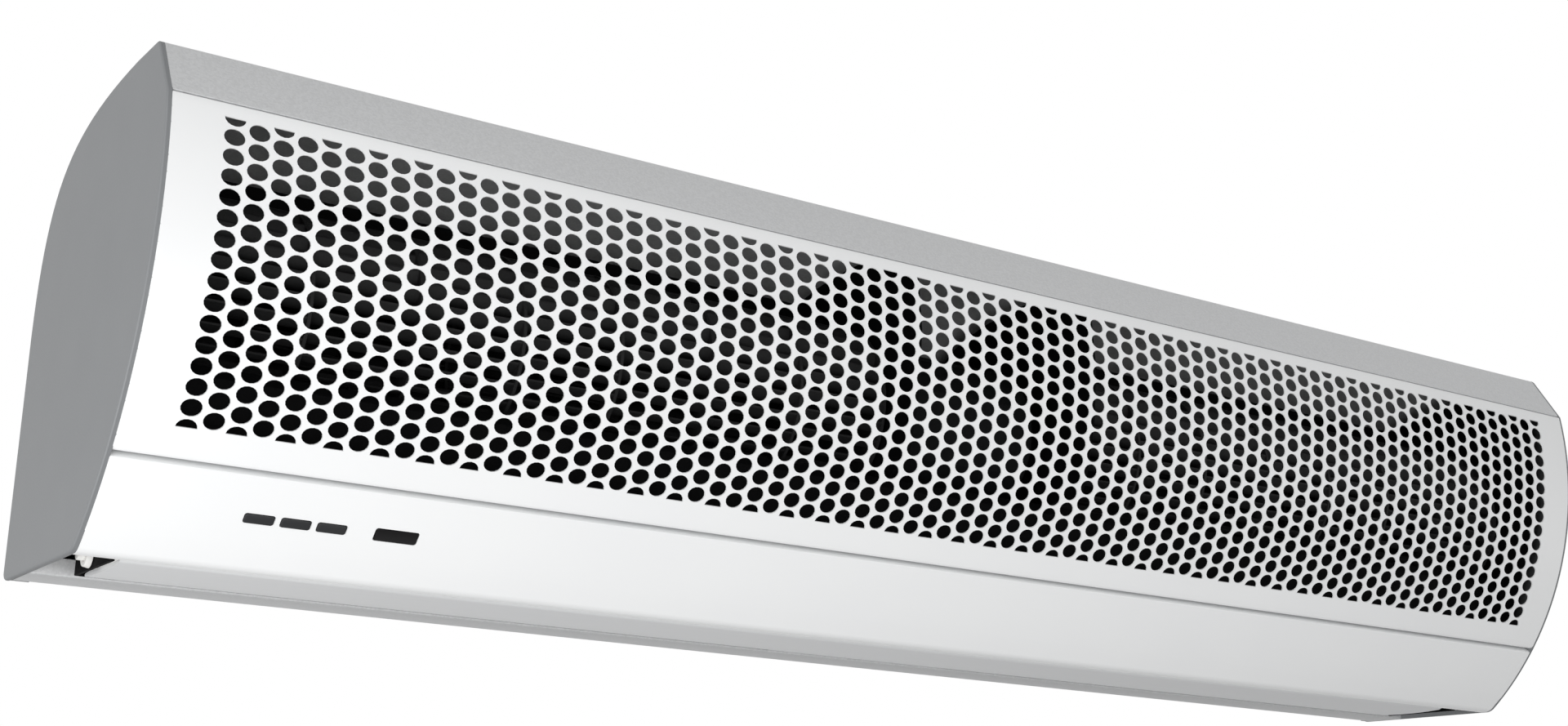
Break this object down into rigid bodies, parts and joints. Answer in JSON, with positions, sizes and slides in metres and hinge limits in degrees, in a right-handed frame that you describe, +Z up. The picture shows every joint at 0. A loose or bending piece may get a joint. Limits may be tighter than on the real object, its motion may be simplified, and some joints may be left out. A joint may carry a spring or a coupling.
{
  "type": "air curtain",
  "caption": "Wall-hung air curtain with a curved perforated intake cover, cross-flow impellers, a tilting outlet louvre and push buttons.",
  "frame": {"origin": "middle of the wall plate's back face, which lies on the wall", "axes": "+X along the unit to the right end as seen from the room, +Y into the wall, +Z up"},
  "size_m": [0.9, 0.1732, 0.2086],
  "materials": {
    "white_paint": "satin white powder coat",
    "silver_paint": "satin silver-grey paint",
    "cap_plastic": "fine-grained grey moulding",
    "zinc_steel": "zinc-coated sheet",
    "black_enamel": "matt black stove enamel",
    "bright_steel": "bright zinc",
    "louvre_aluminium": "satin, silver-painted",
    "fan_plastic": "matt black",
    "rubber": "matt black",
    "bronze": "sintered bronze",
    "motor_paint": "dark enamel",
    "button_plastic": "satin dark grey",
    "window_plastic": "smoky dark, glossy",
    "circuit_board": "green laminate",
    "nylon": "natural nylon",
    "capacitor_plastic": "black moulding"
  },
  "bodies": {
    "housing": {"rear_casing": "silver_paint", "wall_plate": "zinc_steel", "front_cover": "white_paint", "lower_front_panel": "white_paint", "end_cap_left": "cap_plastic", "end_cap_right": "cap_plastic", "motor_body": "motor_paint", "motor_bracket": "zinc_steel", "front_air_guide": "black_enamel", "button_board": "circuit_board", "receiver_window": "window_plastic", "control_board": "circuit_board", "motor_capacitor": "capacitor_plastic", "terminal_block": "nylon", "cable_grommet": "rubber", "bearing_bracket_left": "black_enamel", "bearing_bush_left": "rubber", "bearing_left": "bronze", "motor_ring_left": "rubber", "motor_strap_left": "zinc_steel", "rear_scroll_left": "black_enamel", "partition_left": "black_enamel", "louvre_bush_left": "nylon", "bracket_screw_left": "bright_steel", "cap_screw_left_lower": "bright_steel", "strap_screw_left_lower": "bright_steel", "cap_screw_left_upper": "bright_steel", "strap_screw_left_upper": "bright_steel", "bearing_bracket_right": "black_enamel", "bearing_bush_right": "rubber", "bearing_right": "bronze", "motor_ring_right": "rubber", "motor_strap_right": "zinc_steel", "rear_scroll_right": "black_enamel", "partition_right": "black_enamel", "louvre_bush_right": "nylon", "bracket_screw_right": "bright_steel", "cap_screw_right_lower": "bright_steel", "strap_screw_right_lower": "bright_steel", "cap_screw_right_upper": "bright_steel", "strap_screw_right_upper": "bright_steel", "motor_screw_lower": "bright_steel", "motor_screw_upper": "bright_steel"},
    "rotor": {"motor_shaft": "bright_steel", "impeller_left": "fan_plastic", "impeller_right": "fan_plastic", "impeller_hub_left": "rubber", "impeller_hub_right": "rubber", "stub_shaft_left": "bright_steel", "stub_shaft_right": "bright_steel"},
    "louvre": {"outlet_louvre": "louvre_aluminium", "louvre_pivot_left": "nylon", "louvre_pivot_right": "nylon"},
    "power_button_body": {"power_button": "button_plastic"},
    "high_speed_button_body": {"high_speed_button": "button_plastic"},
    "low_speed_button_body": {"low_speed_button": "button_plastic"}
  },
  "joints": [
    {"name": "rotor_spin", "type": "hinge", "parent": "housing", "child": "rotor", "pos_m": [0, -0.092, 0.018], "axis": [1, 0, 0], "continuous": true},
    {"name": "louvre_tilt", "type": "hinge", "parent": "housing", "child": "louvre", "pos_m": [0, -0.061, -0.0938], "axis": [1, 0, 0], "range_deg": [0, 100]},
    {"name": "power_press", "type": "slide", "parent": "housing", "child": "power_button_body", "axis": [0, 0.7385, 0.6743], "range_m": [0, 0.0012], "stiffness_N_per_m": 1250, "springref_m": -0.0004},
    {"name": "high_speed_press", "type": "slide", "parent": "housing", "child": "high_speed_button_body", "axis": [0, 0.7385, 0.6743], "range_m": [0, 0.0012], "stiffness_N_per_m": 1250, "springref_m": -0.0004},
    {"name": "low_speed_press", "type": "slide", "parent": "housing", "child": "low_speed_button_body", "axis": [0, 0.7385, 0.6743], "range_m": [0, 0.0012], "stiffness_N_per_m": 1250, "springref_m": -0.0004}
  ]
}
